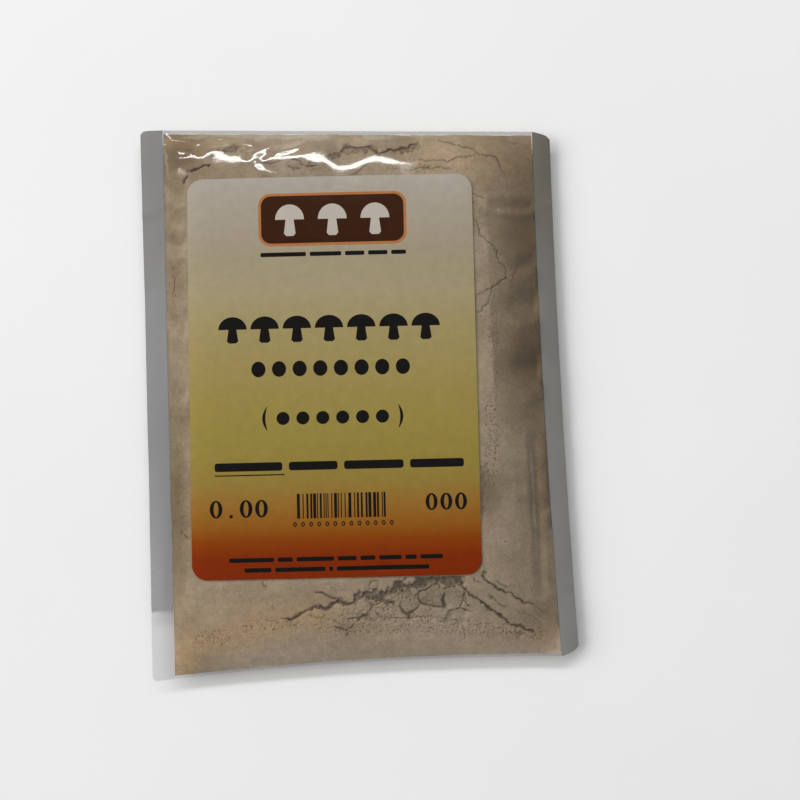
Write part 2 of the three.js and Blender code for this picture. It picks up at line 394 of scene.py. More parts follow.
# Where powder has fallen away from the film and left a shallow hollow: each one's line, its half
# width and its depth.
HOLLOWS = [
    ([(-0.9, -52.9), (2, -51.9), (5, -51.4), (7.5, -50.4)], 1.4, 1.0),
    ([(4, -52), (6.6, -53.6), (8.4, -53.8)], 0.8, 0.9),
    ([(7.5, -50), (10.5, -49), (13.5, -48.6), (17, -48), (25.6, -47.9)], 1.3, 0.9),
    ([(19.5, -52.6), (21.1, -52.3), (21, -53.4)], 0.5, 0.5),
    ([(39.9, -62.9), (41.9, -62.5)], 0.6, 0.4),
    ([(31, -45.8), (32.2, -46.6)], 0.5, 0.7),
    ([(31.7, -17), (33.4, -21), (32.4, -26), (31.8, -32)], 0.9, 0.3),
    ([(-36.1, 65), (-32.8, 66), (-29.5, 67.2)], 1.1, 0.5),
    ([(-4.4, 63.4), (-2.5, 65.6), (1.1, 65.9), (5.4, 65.6), (7, 64.4)], 1.0, 0.55),
    ([(10.5, 64.9), (13.5, 65.4), (17, 66.8)], 0.9, 0.5),
]
# Patches broken into plates, and patches pitted like coarse sand: their middles and reaches.
BROKEN = [((13, -53.5), (12, 4)), ((23, -55), (6, 4.5)), ((3, -56.5), (7, 2)), ((-11, 61.5), (5, 1.8))]
PITTED = [((-2, -59.5), (11, 2.6)), ((16, -60), (15, 2.2)), ((8, -54), (14, 5)), ((38, -61.5), (13, 4)),
          ((34, -21), (2.6, 8)), ((36.2, 15), (1.8, 12)), ((35, -8), (2.6, 9)), ((-38, -62), (8, 3)),
          ((-24, -58.5), (9, 2)), ((-46.5, -22), (1.6, 14)), ((-47.5, 28), (1, 12)), ((20, 59.8), (12, 1.5)),
          ((-11, 61), (5, 2.4)), ((32.3, 50), (0.9, 5))]
# Patches crossed by hairline cracks.
CRAZED = [((2, -50.5), (16, 3.5)), ((41, -56), (9, 7)), ((36, 28), (6, 10)), ((12, 61.5), (16, 3)),
          ((-47, 20), (2.4, 30)), ((-20, -52), (14, 5)), ((30, -58), (10, 5)), ((38, -38), (8, 8))]

CRACK_STRAYS = ((0.14, 0.45), (0.3, 0.9), (0.4, 2.6))  # how far a crack strays, and over what length
HOLLOW_STRAY = 2.2  # a hollow's edge strays this many times as far
NARROWEST = 0.06  # the half width below which no crack goes


def ragged(x, y, straight, seeds):
    """One coordinate of each plan point, moved by noise of three sizes."""
    for (reach, size), seed in zip(CRACK_STRAYS, seeds):
        straight = straight + reach * noise(x, y, size, seed)
    return straight


def crack_depth(x, y):
    """How deep the cracks and the shallow hollows are at each plan point."""
    ragged_x = ragged(x, y, x, (30, 31, 32))
    ragged_y = ragged(x, y, y, (39, 33, 34))
    depth = np.zeros(np.shape(x))
    # A crack is a V in section, of uneven width, and dies away at both ends.
    uneven = 1 + 0.7 * noise(x, y, 1.7, 35)
    for stops, half_width, deepest in CRACKS:
        away, along = trail(ragged_x, ragged_y, stops)
        ends = step(along, -0.15, 0.2) * (1 - step(along, 0.8, 1.15))
        width = np.maximum(half_width * (0.45 + 0.55 * ends) * uneven, NARROWEST)
        depth = np.maximum(depth, deepest * ends * np.clip(1.3 - away / width, 0, 1))
    # A hollow is rounder, with a crumbled edge and an uneven floor.
    ragged_x, ragged_y = mix(x, ragged_x, HOLLOW_STRAY), mix(y, ragged_y, HOLLOW_STRAY)
    uneven = 1 + 0.3 * noise(x, y, 2.4, 36)
    crumbled = 0.3 * noise(x, y, 0.7, 50)
    bottom = 0.72 + 0.28 * noise(x, y, 0.8, 37)
    for stops, half_width, deepest in HOLLOWS:
        away, along = trail(ragged_x, ragged_y, stops)
        width = half_width * (0.6 + 0.4 * step(along, -0.1, 0.3)) * uneven
        pit = step(1.35 - away / width + crumbled, 0, 1.1)
        depth = np.maximum(depth, deepest * pit * bottom)
    return depth


def zone(x, y, patches):
    """1 in the middle of the patches and 0 outside them, with an uneven edge."""
    share = sum(patch(x, y, *each) for each in patches) + 0.35 * noise(x, y, 3, 38)
    return step(share, 0.35, 0.8)


PLATE_SIZE, PLATE_STRETCH = 5.6, 1.25  # the large plates' size, and how much wider they are than high
SMALL_PLATE_SIZE = 2.1


def crumble_depth(x, y):
    """How far the broken and pitted patches lie below the film. The joints between plates are open
    only here and there."""
    weight = zone(x, y, BROKEN)
    far, lift = plates(x / PLATE_STRETCH, y, PLATE_SIZE, 41)
    near, small_lift = plates(x, y, SMALL_PLATE_SIZE, 44)
    wide_joint = 0.55 * np.clip(1.2 - far / 0.24, 0, 1) * step(noise(x, y, 4, 47), -0.5, 0.2)
    fine_joint = 0.25 * np.clip(1.1 - near / 0.11, 0, 1) * step(noise(x, y, 3, 46), -0.1, 0.5)
    broken = weight * np.maximum(0, 0.25 + 0.42 * lift + 0.1 * small_lift + wide_joint + fine_joint)
    pits = zone(x, y, PITTED) * step(noise(x, y, 0.45, 48) + 0.4 * noise(x, y, 1.6, 49), 0.4, 0.9)
    return broken + 0.16 * pits


POWDER_GAP = 0.09  # between the powder and the film that it presses
THINNEST = 0.4  # the powder is at least this thick above the back film


def powder_height(x, y):
    """The powder's upper surface."""
    sunk = np.maximum(crack_depth(x, y), crumble_depth(x, y))
    bare = 1 - under_label(x, y, 0.5)
    upper = pressed_height(x, y) - POWDER_GAP - sunk * bare + waves(x, y, "grain")
    return np.maximum(upper, back_height(x, y) + THINNEST)


# ---------- Meshes ----------
def make_piece(name, points, faces, material, sharp=math.radians(50)):
    """A mesh object from millimetre points, smooth but for edges that turn more than sharp."""
    mesh = bpy.data.meshes.new(name)
    mesh.from_pydata((np.asarray(points) * MM).tolist(), [], [tuple(f) for f in faces])
    mesh.validate()
    mesh.shade_smooth()
    mesh.set_sharp_from_angle(angle=sharp)
    mesh.materials.append(material)
    made = bpy.data.objects.new(name, mesh)
    bpy.context.scene.collection.objects.link(made)
    return made


def finish_piece(made, slot, *nodes):
    """The piece rides on the pouch and stands for its CAD nodes, which it hides. slot is not used."""
    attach(made, "root")
    if nodes:
        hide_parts(*nodes)


def slab(x, y, low, high):
    """Points and faces of a closed solid between two heights over a grid of plan points. x has to
    grow along each row, and y from row to row."""
    rows, columns = x.shape
    layer = rows * columns
    index = np.arange(layer).reshape(rows, columns)
    a, b, c, d = (g.ravel() for g in (index[:-1, :-1], index[:-1, 1:], index[1:, 1:], index[1:, :-1]))
    rim = np.concatenate([index[0, :-1], index[:-1, -1], index[-1, :0:-1], index[:0:-1, 0]])
    after = np.roll(rim, -1)
    faces = np.concatenate([
        np.stack([a, d, c, b], 1),
        np.stack([a, b, c, d], 1) + layer,
        np.stack([rim, after, after + layer, rim + layer], 1),
    ])
    points = [np.stack([x, y, height], -1).reshape(-1, 3) for height in (low, high)]
    return np.concatenate(points), faces.tolist()


ONLY_INSIDE = 1  # the kind of result that keeps the triangles inside the loops
SAME_POINT = 1e-5  # plan points closer than this become one


def triangulate(points, loops):
    """The plan points, the triangles over them inside the loops, the loops that each triangle lies
    in, and the given points that each point stands for."""
    flat = [Vector(p) for p in np.asarray(points, float).tolist()]
    out, _, faces, sources, _, owners = delaunay_2d_cdt(flat, [], loops, ONLY_INSIDE, SAME_POINT)
    plan = np.array([tuple(v) for v in out])
    return plan, faces, owners, sources


def rim_of(triangles):
    """The directed edges that only one triangle has."""
    edges = {(f[k], f[(k + 1) % 3]) for f in triangles for k in range(3)}
    return [e for e in edges if (e[1], e[0]) not in edges]


def layer_between(plan, triangles, low, high):
    """Points and faces of a closed solid between two heights over triangles in plan."""
    used = sorted({v for f in triangles for v in f})
    place = {v: k for k, v in enumerate(used)}
    triangles = [[place[v] for v in f] for f in triangles]
    count = len(used)
    flat = plan[used]
    points = np.concatenate([np.column_stack([flat, low[used]]), np.column_stack([flat, high[used]])])
    faces = [f[::-1] for f in triangles] + [[v + count for v in f] for f in triangles]
    faces += [[a, b, b + count, a + count] for a, b in rim_of(triangles)]
    return points, faces


def set_attribute(mesh, name, values):
    """Gives each of the mesh's points a number, which its material reads by name."""
    layer = mesh.attributes.new(name, "FLOAT", "POINT")
    layer.data.foreach_set("value", np.asarray(values, np.float32))


# ---------- Materials ----------
# A Mix node has sockets for each kind of value. These are its factor's and its colours'.
FACTOR, FIRST, SECOND = 0, 6, 7
MIXED = 2


def linear(colour):
    """An sRGB hex colour as the linear colour that a socket takes."""
    channels = []
    for start in (1, 3, 5):
        value = int(colour[start:start + 2], 16) / 255
        channels.append(value / 12.92 if value <= 0.04045 else ((value + 0.055) / 1.055) ** 2.4)
    return tuple(channels) + (1.0,)


def add(tree, kind, inputs=None, **settings):
    """Adds a node. inputs gives sockets, by name or number, a value or the output that feeds them."""
    made = tree.nodes.new(kind)
    for name, value in settings.items():
        setattr(made, name, value)
    for socket, value in (inputs or {}).items():
        if isinstance(value, bpy.types.NodeSocket):
            tree.links.new(value, made.inputs[socket])
        else:
            made.inputs[socket].default_value = value
    return made


def new_material(name):
    """A bare material, its tree, and the output that gives the object's own coordinates."""
    material = bpy.data.materials.new(name)
    material.use_nodes = True
    tree = material.node_tree
    tree.nodes.clear()
    return material, tree, add(tree, "ShaderNodeTexCoord").outputs["Object"]


def noise_scale(size):
    """A noise or Voronoi texture's scale for lumps of this many millimetres."""
    return 1 / (size * MM)


def powder_material():
    """Dried mushroom ground to a flour: dead matt, pale tan, pressed smooth where it meets the film,
    with yellower drifts, sandy specks and hairlines. Painted light lifts its lower part, and painted
    shade darkens its slopes, its edges and its cracks and hollows."""
    material, tree, place = new_material("ground_dried_mushroom")
    share = {}
    for name in ("pale", "warm", "loose", "hollow", "pitted", "crazed"):
        share[name] = add(tree, "ShaderNodeAttribute", attribute_name=name).outputs["Fac"]
    # Each noise's size in millimetres, its detail and its roughness. Real grains are 0.1 mm and
    # finer. They are drawn as clusters of 0.45 mm, which is as fine as shows.
    noises = {"drift": (11, 4.0, 0.6), "mottle": (2.2, 5.0, 0.65), "grain": (0.45, 3.0, 0.7),
              "speck": (0.5, 1.5, 0.55), "patch": (6, 2.0, 0.5)}
    for name, (size, detail, roughness) in noises.items():
        share[name] = add(tree, "ShaderNodeTexNoise", {
            "Vector": place, "Scale": noise_scale(size), "Detail": detail,
            "Roughness": roughness}).outputs["Fac"]
    # Hairlines run between cells of about 5.5 mm, whose edges the mottle bends.
    bent = add(tree, "ShaderNodeVectorMath", {0: place, 1: share["mottle"], 2: place},
               operation="MULTIPLY_ADD").outputs[0]
    share["edge"] = add(tree, "ShaderNodeTexVoronoi", {"Vector": bent, "Scale": noise_scale(5.5)},
                        feature="DISTANCE_TO_EDGE").outputs["Distance"]
    # A speck shows where its noise passes a limit, which is lower where the powder is pitted.
    share["limit"] = add(tree, "ShaderNodeMapRange", {
        "Value": share["pitted"], "To Min": 0.74, "To Max": 0.565}).outputs[0]
    share["above"] = add(tree, "ShaderNodeMath", {0: share["speck"], 1: share["limit"]},
                         operation="SUBTRACT").outputs[0]
    # Each share read between two values of its source, and the values that it takes there
    ranges = {"pink": ("drift", 0.35, 0.65, 0, 1), "tone": ("mottle", 0.3, 0.7, 0.85, 1.12),
              "fine tone": ("grain", 0.3, 0.7, 0.82, 1.15), "dot": ("above", 0.0, 0.05, 0, 0.62),
              "line": ("edge", 0.006, 0.022, 1, 0), "open": ("patch", 0.42, 0.56, 0, 0.7)}
    for name, (source, low, high, start, end) in ranges.items():
        share[name] = add(tree, "ShaderNodeMapRange", {
            "Value": share[source], "From Min": low, "From Max": high,
            "To Min": start, "To Max": end}).outputs[0]
    for factor in ("open", "crazed"):
        share["line"] = add(tree, "ShaderNodeMath", {0: share["line"], 1: share[factor]},
                            operation="MULTIPLY").outputs[0]
    # The plain powder's colour, then what is laid over it, in turn: how strongly, what and how
    colour = linear("#97866e")
    # The pale share is painted light on the powder's lower part, and the warm share is yellower powder that
    # at the bottom is painted light too.
    layers = [("pink", linear("#ad9b84"), "MIX"), ("pale", linear("#c0ae9a"), "MIX"),
              # The loose share is painted shade on the powder's slopes and edges.
              ("warm", linear("#bb9a73"), "MIX"), ("loose", linear("#6a563c"), "MIX"),
              (1.0, share["tone"], "MULTIPLY"), (1.0, share["fine tone"], "MULTIPLY"),
              ("dot", linear("#56452f"), "MIX"), ("line", linear("#56452f"), "MIX"),
              # The hollow share is painted shade in the cracks and hollows.
              ("hollow", linear("#544433"), "MIX")]
    for factor, tint, how in layers:
        colour = add(tree, "ShaderNodeMix", {
            FACTOR: share.get(factor, factor), FIRST: colour, SECOND: tint},
            data_type="RGBA", blend_type=how).outputs[MIXED]
    bump = add(tree, "ShaderNodeBump", {"Height": share["grain"], "Strength": 0.7, "Distance": 0.16 * MM})
    shader = add(tree, "ShaderNodeBsdfPrincipled", {
        "Base Color": colour, "Roughness": 0.95, "Specular IOR Level": 0.2, "Normal": bump.outputs[0]})
    add(tree, "ShaderNodeOutputMaterial", {"Surface": shader.outputs[0]})
    return material


def film_material():
    """Cast polypropylene film, glossy and clear: it hardly tints what lies behind it, and shows
    itself by sharp white reflections on its folds. Where it is scuffed, its reflections are dull."""
    material, tree, place = new_material("clear_polypropylene_film")
    ripple = add(tree, "ShaderNodeTexNoise", {
        "Vector": place, "Scale": noise_scale(4), "Detail": 2.0, "Distortion": 0.6}).outputs["Fac"]
    bump = add(tree, "ShaderNodeBump", {
        "Height": ripple, "Strength": 0.08, "Distance": 0.5 * MM}).outputs[0]
    clear = add(tree, "ShaderNodeBsdfTransparent", {"Color": linear("#fdfdfc")})
    # Both faces of the sheet reflect. Its outer face does so for both here, with the IOR raised to suit.
    mirror = add(tree, "ShaderNodeFresnel", {"IOR": 1.8, "Normal": bump}).outputs[0]
    behind = add(tree, "ShaderNodeNewGeometry").outputs["Backfacing"]
    outer = add(tree, "ShaderNodeMath", {0: 1.0, 1: behind}, operation="SUBTRACT").outputs[0]
    # Scuffs spread each reflection and leave less of it.
    dull = add(tree, "ShaderNodeAttribute", attribute_name="dull").outputs["Fac"]
    roughness, kept = (
        add(tree, "ShaderNodeMapRange", {"Value": dull, "To Min": clean, "To Max": scuffed}).outputs[0]
        for clean, scuffed in ((0.1, 0.5), (1.0, 0.3)))
    for factor in (outer, kept):
        mirror = add(tree, "ShaderNodeMath", {0: mirror, 1: factor}, operation="MULTIPLY").outputs[0]
    shine = add(tree, "ShaderNodeBsdfGlossy", {
        "Color": linear("#ffffff"), "Roughness": roughness, "Normal": bump})
    mixed = add(tree, "ShaderNodeMixShader", {0: mirror, 1: clear.outputs[0], 2: shine.outputs[0]})
    add(tree, "ShaderNodeOutputMaterial", {"Surface": mixed.outputs[0]})
    return material


def weld_material():
    """The same film, two panels melted into one: a greyer, slightly hazy double thickness, browner and
    darker towards the top, with painted shade all along the right weld."""
    material, tree, place = new_material("welded_polypropylene_film")
    ripple = add(tree, "ShaderNodeTexNoise", {
        "Vector": place, "Scale": noise_scale(9), "Detail": 2.0}).outputs["Fac"]
    bump = add(tree, "ShaderNodeBump", {
        "Height": ripple, "Strength": 0.3, "Distance": 0.6 * MM}).outputs[0]
    haze, dust_and_shade = (add(tree, "ShaderNodeAttribute", attribute_name=name).outputs["Fac"]
                   for name in ("haze", "dust_and_shade"))
    # This share darkens the grey towards a brown: painted shade along the right weld, and darker towards the
    # top.
    colour = add(tree, "ShaderNodeMix", {
        FACTOR: dust_and_shade, FIRST: linear("#979798"), SECOND: linear("#6d695e")},
        data_type="RGBA").outputs[MIXED]
    clear = add(tree, "ShaderNodeBsdfTransparent", {"Color": linear("#f8f8f8")})
    body = add(tree, "ShaderNodeBsdfPrincipled", {
        "Base Color": colour, "Roughness": 0.22, "Specular IOR Level": 0.5, "Normal": bump})
    mixed = add(tree, "ShaderNodeMixShader", {0: haze, 1: clear.outputs[0], 2: body.outputs[0]})
    add(tree, "ShaderNodeOutputMaterial", {"Surface": mixed.outputs[0]})
    return material


# The label's colour at each share of its height, from its bottom edge to its top edge
LABEL_INK = [
    (0.0, "#7c2a06"), (0.05, "#7e2b06"), (0.095, "#863f0a"), (0.13, "#8e581b"), (0.18, "#93692b"),
    (0.24, "#917a3a"), (0.33, "#93833f"), (0.44, "#988748"), (0.61, "#9f8f60"), (0.71, "#a29573"),
    (0.81, "#9f937b"), (0.97, "#a79e91"), (1.0, "#a9a196"),
]


def label_material():
    """Coated label paper, flood printed from warm white through straw to brick red: a satin face."""
    material, tree, place = new_material("satin_label_paper")
    up = add(tree, "ShaderNodeSeparateXYZ", {"Vector": place}).outputs["Y"]
    share = add(tree, "ShaderNodeMapRange", {
        "Value": up, "From Min": (LABEL_TOP - LABEL_HEIGHT) * MM, "From Max": LABEL_TOP * MM}).outputs[0]
    ramp = add(tree, "ShaderNodeValToRGB", {"Fac": share})
    stops = ramp.color_ramp.elements
    for k, (where, colour) in enumerate(LABEL_INK):
        stop = stops[k] if k < 2 else stops.new(where)
        stop.position, stop.color = where, linear(colour)
    mottle = add(tree, "ShaderNodeTexNoise", {
        "Vector": place, "Scale": noise_scale(2.5), "Detail": 5.0, "Roughness": 0.65}).outputs["Fac"]
    tone = add(tree, "ShaderNodeMapRange", {
        "Value": mottle, "From Min": 0.3, "From Max": 0.7, "To Min": 0.95, "To Max": 1.05}).outputs[0]
    colour = add(tree, "ShaderNodeMix", {FACTOR: 1.0, FIRST: ramp.outputs["Color"], SECOND: tone},
                 data_type="RGBA", blend_type="MULTIPLY").outputs[MIXED]
    bump = add(tree, "ShaderNodeBump", {"Height": mottle, "Strength": 0.15, "Distance": 0.05 * MM})
    shader = add(tree, "ShaderNodeBsdfPrincipled", {
        "Base Color": colour, "Roughness": 0.38, "Specular IOR Level": 0.1, "Normal": bump.outputs[0]})
    add(tree, "ShaderNodeOutputMaterial", {"Surface": shader.outputs[0]})
    return material


def ink_material(name, dark, light):
    """Printing ink on label stock: a thin satin coat, a little uneven where the paper shows through."""
    material, tree, place = new_material(name)
    patchy = add(tree, "ShaderNodeTexNoise", {
        "Vector": place, "Scale": noise_scale(1.5), "Detail": 4.0}).outputs["Fac"]
    colour = add(tree, "ShaderNodeMix", {FACTOR: patchy, FIRST: linear(dark), SECOND: linear(light)},
                 data_type="RGBA").outputs[MIXED]
    shader = add(tree, "ShaderNodeBsdfPrincipled", {
        "Base Color": colour, "Roughness": 0.42, "Specular IOR Level": 0.1})
    add(tree, "ShaderNodeOutputMaterial", {"Surface": shader.outputs[0]})
    return material


def floor_material():
    """A matt painted board, off-white, with a faint unevenness."""
    material, tree, place = new_material("matt_painted_board")
    cloud = add(tree, "ShaderNodeTexNoise", {
        "Vector": place, "Scale": noise_scale(60), "Detail": 3.0}).outputs["Fac"]
    colour = add(tree, "ShaderNodeMix", {
        FACTOR: cloud, FIRST: linear("#f3f3f3"), SECOND: linear("#f8f8f8")},
        data_type="RGBA").outputs[MIXED]
    shader = add(tree, "ShaderNodeBsdfPrincipled", {"Base Color": colour, "Roughness": 0.9})
    add(tree, "ShaderNodeOutputMaterial", {"Surface": shader.outputs[0]})
    return material


# ---------- The powder ----------
RIM_STEP = 0.5  # how far apart the points of the powder's edge are
RIM_INSET = 0.14  # how far inside the film's rim that edge is
EDGE_HALF = 0.02  # half the powder's thickness there
EDGE_ROOM = 1.1  # how far inside the rim its other points stay
# How far apart those are, by what the powder is like there
SPACING = {"far under label": 3.2, "plain": 1.2, "bare": 0.5, "broken": 0.27, "cracked": 0.17}
SHOWS = 0.02  # the least depth, or share of a patch, that asks for closer points
LABEL_BAND = 2.5  # how far inside the label's edge the widest spacing starts


def wanted_step(x, y):
    """How far apart the points of the powder's upper surface should be at each plan point."""
    wanted = np.full(x.shape, SPACING["bare"])
    wanted[(zone(x, y, BROKEN) > SHOWS) | (zone(x, y, PITTED) > SHOWS)] = SPACING["broken"]
    wanted[crack_depth(x, y) > SHOWS] = SPACING["cracked"]
    wanted[under_label(x, y, 0.1) > 0.99] = SPACING["plain"]
    across = np.abs(x - LABEL_CENTRE[0]) < LABEL_WIDTH / 2 - LABEL_BAND
    along = np.abs(y - LABEL_CENTRE[1]) < LABEL_HEIGHT / 2 - LABEL_BAND
    wanted[across & along] = SPACING["far under label"]
    return wanted


def plain_step(x, y):
    """The same for its underside, which is plain all over."""
    return np.full(x.shape, SPACING["plain"])


STREWN_X, STREWN_Y = (-52, 54), (-74, 75)  # where points are strewn, a little beyond the pouch
ROW_STEP = 0.87  # between rows of points, as a share of the step within one
POINT_STRAY = 0.2  # how far each point strays, as a share of the same


def scattered(step_size, seed):
    """Slightly uneven plan points over the pouch, step_size apart."""
    random = np.random.default_rng(seed)
    x, y = np.meshgrid(np.arange(*STREWN_X, step_size), np.arange(*STREWN_Y, step_size * ROW_STEP))
    odd_rows = (np.arange(x.shape[0]) % 2)[:, None]
    x = x + odd_rows * step_size / 2
    x = x + random.uniform(-POINT_STRAY, POINT_STRAY, x.shape) * step_size
    y = y + random.uniform(-POINT_STRAY, POINT_STRAY, x.shape) * step_size
    return x.ravel(), y.ravel()


def powder_rim():
    """The powder's edge in plan, anticlockwise: just inside the rim, and slightly wavy."""
    around = []
    corners = [(-1, -1), (1, -1), (1, 1), (-1, 1)]
    for start, end in zip(corners, corners[1:] + corners[:1]):
        length = 2 * (HALF_WIDTH if start[1] == end[1] else HALF_HEIGHT)
        share = np.linspace(0, 1, int(length / RIM_STEP), endpoint=False)
        around.append(np.column_stack([mix(start[0], end[0], share), mix(start[1], end[1], share)]))
    s, t = np.concatenate(around).T
    x, y = in_plan(s, t)
    inset = RIM_INSET + waves(x, y, "rim") + waves(x, y, "short rim")
    return np.column_stack(in_plan(s * (1 - inset / HALF_WIDTH), t * (1 - inset / HALF_HEIGHT)))


def powder_points(rim, steps_wanted):
    """The rim's points, then those inside it, spaced as steps_wanted says."""
    points = [rim]
    for k, size in enumerate(SPACING.values()):
        x, y = scattered(size, 60 + k)
        s, t = in_panel(x, y)
        inside = (np.abs(s) < 1 - EDGE_ROOM / HALF_WIDTH) & (np.abs(t) < 1 - EDGE_ROOM / HALF_HEIGHT)
        x, y = x[inside], y[inside]
        chosen = np.isclose(steps_wanted(x, y), size)
        points.append(np.column_stack([x[chosen], y[chosen]]))
    return np.concatenate(points)


# Drifts of yellower powder, some at the bottom also painted light, and patches of painted shade where
# the powder's slopes and edges turn from the light: the middle and reach of each, and how strongly it shows.
WARM_AND_PAINTED_LIGHT_DRIFTS = [((-38, -63), (9, 4), 0.6), ((-26, -59), (9, 3.5), 0.55), ((-46, -67), (5, 4), 0.55),
               # The two broad drifts at the bottom are painted light that lifts the powder there.
               ((-13, -57), (8, 3), 0.4), ((-25, -54), (26, 7), 0.25), ((8, -64), (34, 4), 0.2),
               ((-44, 66), (9, 6), 0.45), ((44, -63), (8, 5), 0.25), ((30, 62), (20, 6), 0.4)]
PAINTED_SHADE_DRIFTS = [((45, 40), (9, 26), 0.9), ((45, 8), (8, 12), 0.75), ((46.5, -25), (6, 22), 0.6),
                ((47, -60), (6, 9), 0.3), ((38, 66), (12, 8), 0.35), ((-45, 66), (8, 7), 0.75),
                ((-48, 40), (4, 25), 0.5), ((-48, -25), (4, 30), 0.85), ((33.5, -24), (3, 8), 0.75),
                ((-22, 61), (3, 6), 0.35), ((36, 10), (3, 14), 0.25)]
# Beside the label a strip of powder is kept clear of the painted shade and stays pale. Its outer
# edge runs between these points.
PALE_STRIP = ((34.8, 52), (36.2, -30))


def drifts(x, y, rows):
    """How strongly the drifts show at each plan point."""
    return sum(share * patch(x, y, middle, reach) for middle, reach, share in rows)


def painted_shade_share(x, y):
    """How strongly painted shade darkens the powder behind the film, except in the strip beside the label."""
    (top_x, top_y), (low_x, low_y) = PALE_STRIP
    edge = mix(low_x, top_x, (y - low_y) / (top_y - low_y)) + waves(x, y, "pale strip")
    strip = step(x, 20, 25) * (1 - step(x, edge, edge + 0.7)) * step(y, low_y, low_y + 20)
    return drifts(x, y, PAINTED_SHADE_DRIFTS) * (1 - strip * (1 - step(y, top_y, top_y + 2)))


def powder_shares(x, y):
    """What the powder's finish and its crumbs read at each point of its upper surface, from 0 to 1."""
    bare = 1 - under_label(x, y, 0.5)
    sunk = np.maximum(crack_depth(x, y) * bare, crumble_depth(x, y) * bare - 0.3)
    return {
        # Painted shade in the cracks and hollows, darker the deeper they are
        "hollow": np.clip(sunk / 0.6, 0, 0.95) * (0.84 + 0.2 * noise(x, y, 0.6, 54)),
        # Yellower powder, and at the bottom painted light too
        "warm": np.clip(drifts(x, y, WARM_AND_PAINTED_LIGHT_DRIFTS), 0, 1),
        # Painted shade on the slopes and edges
        "loose": np.clip(painted_shade_share(x, y), 0, 1),
        # Painted light on the powder's lower part
        "pale": 0.75 * (1 - step(y + noise(x, y, 9, 56), -69, -58)) * step(x, -44, -30),
        "crumbly": step(sunk, 0.35, 0.7),
        "pitted": zone(x, y, PITTED),
        "crazed": zone(x, y, CRAZED),
    }


def make_powder(material):
    """The powder, closed round its edge, where its upper surface and its underside nearly meet."""
    rim = powder_rim()
    loop = [list(range(len(rim)))]
    upper, upper_faces, _, upper_from = triangulate(powder_points(rim, wanted_step), loop)
    lower, lower_faces, _, lower_from = triangulate(powder_points(rim, plain_step), loop)
    top = np.column_stack([upper, powder_height(*upper.T)])
    base = np.column_stack([lower, back_height(*lower.T) + AIR])
    offset = len(top)
    above, below = ({source[0]: k for k, source in enumerate(sources) if source and source[0] < len(rim)}
                    for sources in (upper_from, lower_from))
    beneath = {above[k]: below[k] + offset for k in above}
    for high, low in beneath.items():
        middle = (top[high, 2] + base[low - offset, 2]) / 2
        top[high, 2] = middle + EDGE_HALF
        base[low - offset, 2] = middle - EDGE_HALF
    faces = [list(f) for f in upper_faces]
    faces += [[v + offset for v in reversed(f)] for f in lower_faces]
    faces += [[beneath[a], beneath[b], b, a] for a, b in rim_of(upper_faces)]
    made = make_piece("mushroom_powder_fill", np.concatenate([top, base]), faces, material)
    for name, values in powder_shares(*upper.T).items():
        set_attribute(made.data, name, np.concatenate([values, np.zeros(len(base))]))
    return made


# ---------- Loose crumbs in the powder's clefts ----------
CRUMB_SETTINGS = {
    "Crumbs per Square Metre": 1.1e6,
    "Smallest Radius": 0.1 * MM,
    "Largest Radius": 0.32 * MM,
    "Unevenness": 0.25 * MM,
    "Seed": 7,
}
# A crumb takes this share of a hollow's painted shade.
CRUMB_SHADE = 0.25  # how far a crumb's colour goes to that of a hollow


def crumb_tree():
    """A node tree that strews crumbs over a mesh where its crumbly attribute says so."""
    tree = bpy.data.node_groups.new("strew_crumbs", "GeometryNodeTree")
    sockets = [("INPUT", "Geometry", "Geometry"), ("INPUT", "Float", "Crumbs per Square Metre"),
               ("INPUT", "Float", "Smallest Radius"), ("INPUT", "Float", "Largest Radius"),
               ("INPUT", "Float", "Unevenness"), ("INPUT", "Int", "Seed"),
               ("INPUT", "Material", "Material"), ("OUTPUT", "Geometry", "Geometry")]
    for way, kind, name in sockets:
        tree.interface.new_socket(name, in_out=way, socket_type="NodeSocket" + kind)
    given = add(tree, "NodeGroupInput").outputs
    crumbly = add(tree, "GeometryNodeInputNamedAttribute", {"Name": "crumbly"},
                  data_type="FLOAT").outputs[0]
    density = add(tree, "ShaderNodeMath", {0: crumbly, 1: given["Crumbs per Square Metre"]},
                  operation="MULTIPLY").outputs[0]
    spots = add(tree, "GeometryNodeDistributePointsOnFaces", {
        "Mesh": given["Geometry"], "Density": density, "Seed": given["Seed"]})
    crumb = add(tree, "GeometryNodeMeshIcoSphere", {"Radius": 1.0, "Subdivisions": 2}).outputs["Mesh"]
    turn = add(tree, "FunctionNodeRandomValue", {
        "Min": (0.0, 0.0, 0.0), "Max": (math.tau,) * 3, "Seed": given["Seed"]}, data_type="FLOAT_VECTOR")
    radius = add(tree, "FunctionNodeRandomValue", {
        2: given["Smallest Radius"], 3: given["Largest Radius"], "Seed": given["Seed"]}, data_type="FLOAT")
    placed = add(tree, "GeometryNodeInstanceOnPoints", {
        "Points": spots.outputs["Points"], "Instance": crumb,
        "Rotation": turn.outputs[0], "Scale": radius.outputs[1]}).outputs[0]
    real = add(tree, "GeometryNodeRealizeInstances", {"Geometry": placed}).outputs[0]
    shift = add(tree, "ShaderNodeTexNoise", {"Scale": noise_scale(0.5), "Detail": 1.0}).outputs["Color"]
    centred = add(tree, "ShaderNodeVectorMath", {0: shift, 1: (0.5, 0.5, 0.5)},
                  operation="SUBTRACT").outputs[0]
    offset = add(tree, "ShaderNodeVectorMath", {0: centred, "Scale": given["Unevenness"]},
                 operation="SCALE").outputs[0]
    uneven = add(tree, "GeometryNodeSetPosition", {"Geometry": real, "Offset": offset}).outputs[0]
    faced = add(tree, "GeometryNodeSetMaterial", {
        "Geometry": uneven, "Material": given["Material"]}).outputs[0]
    add(tree, "NodeGroupOutput", {"Geometry": faced})
    return tree


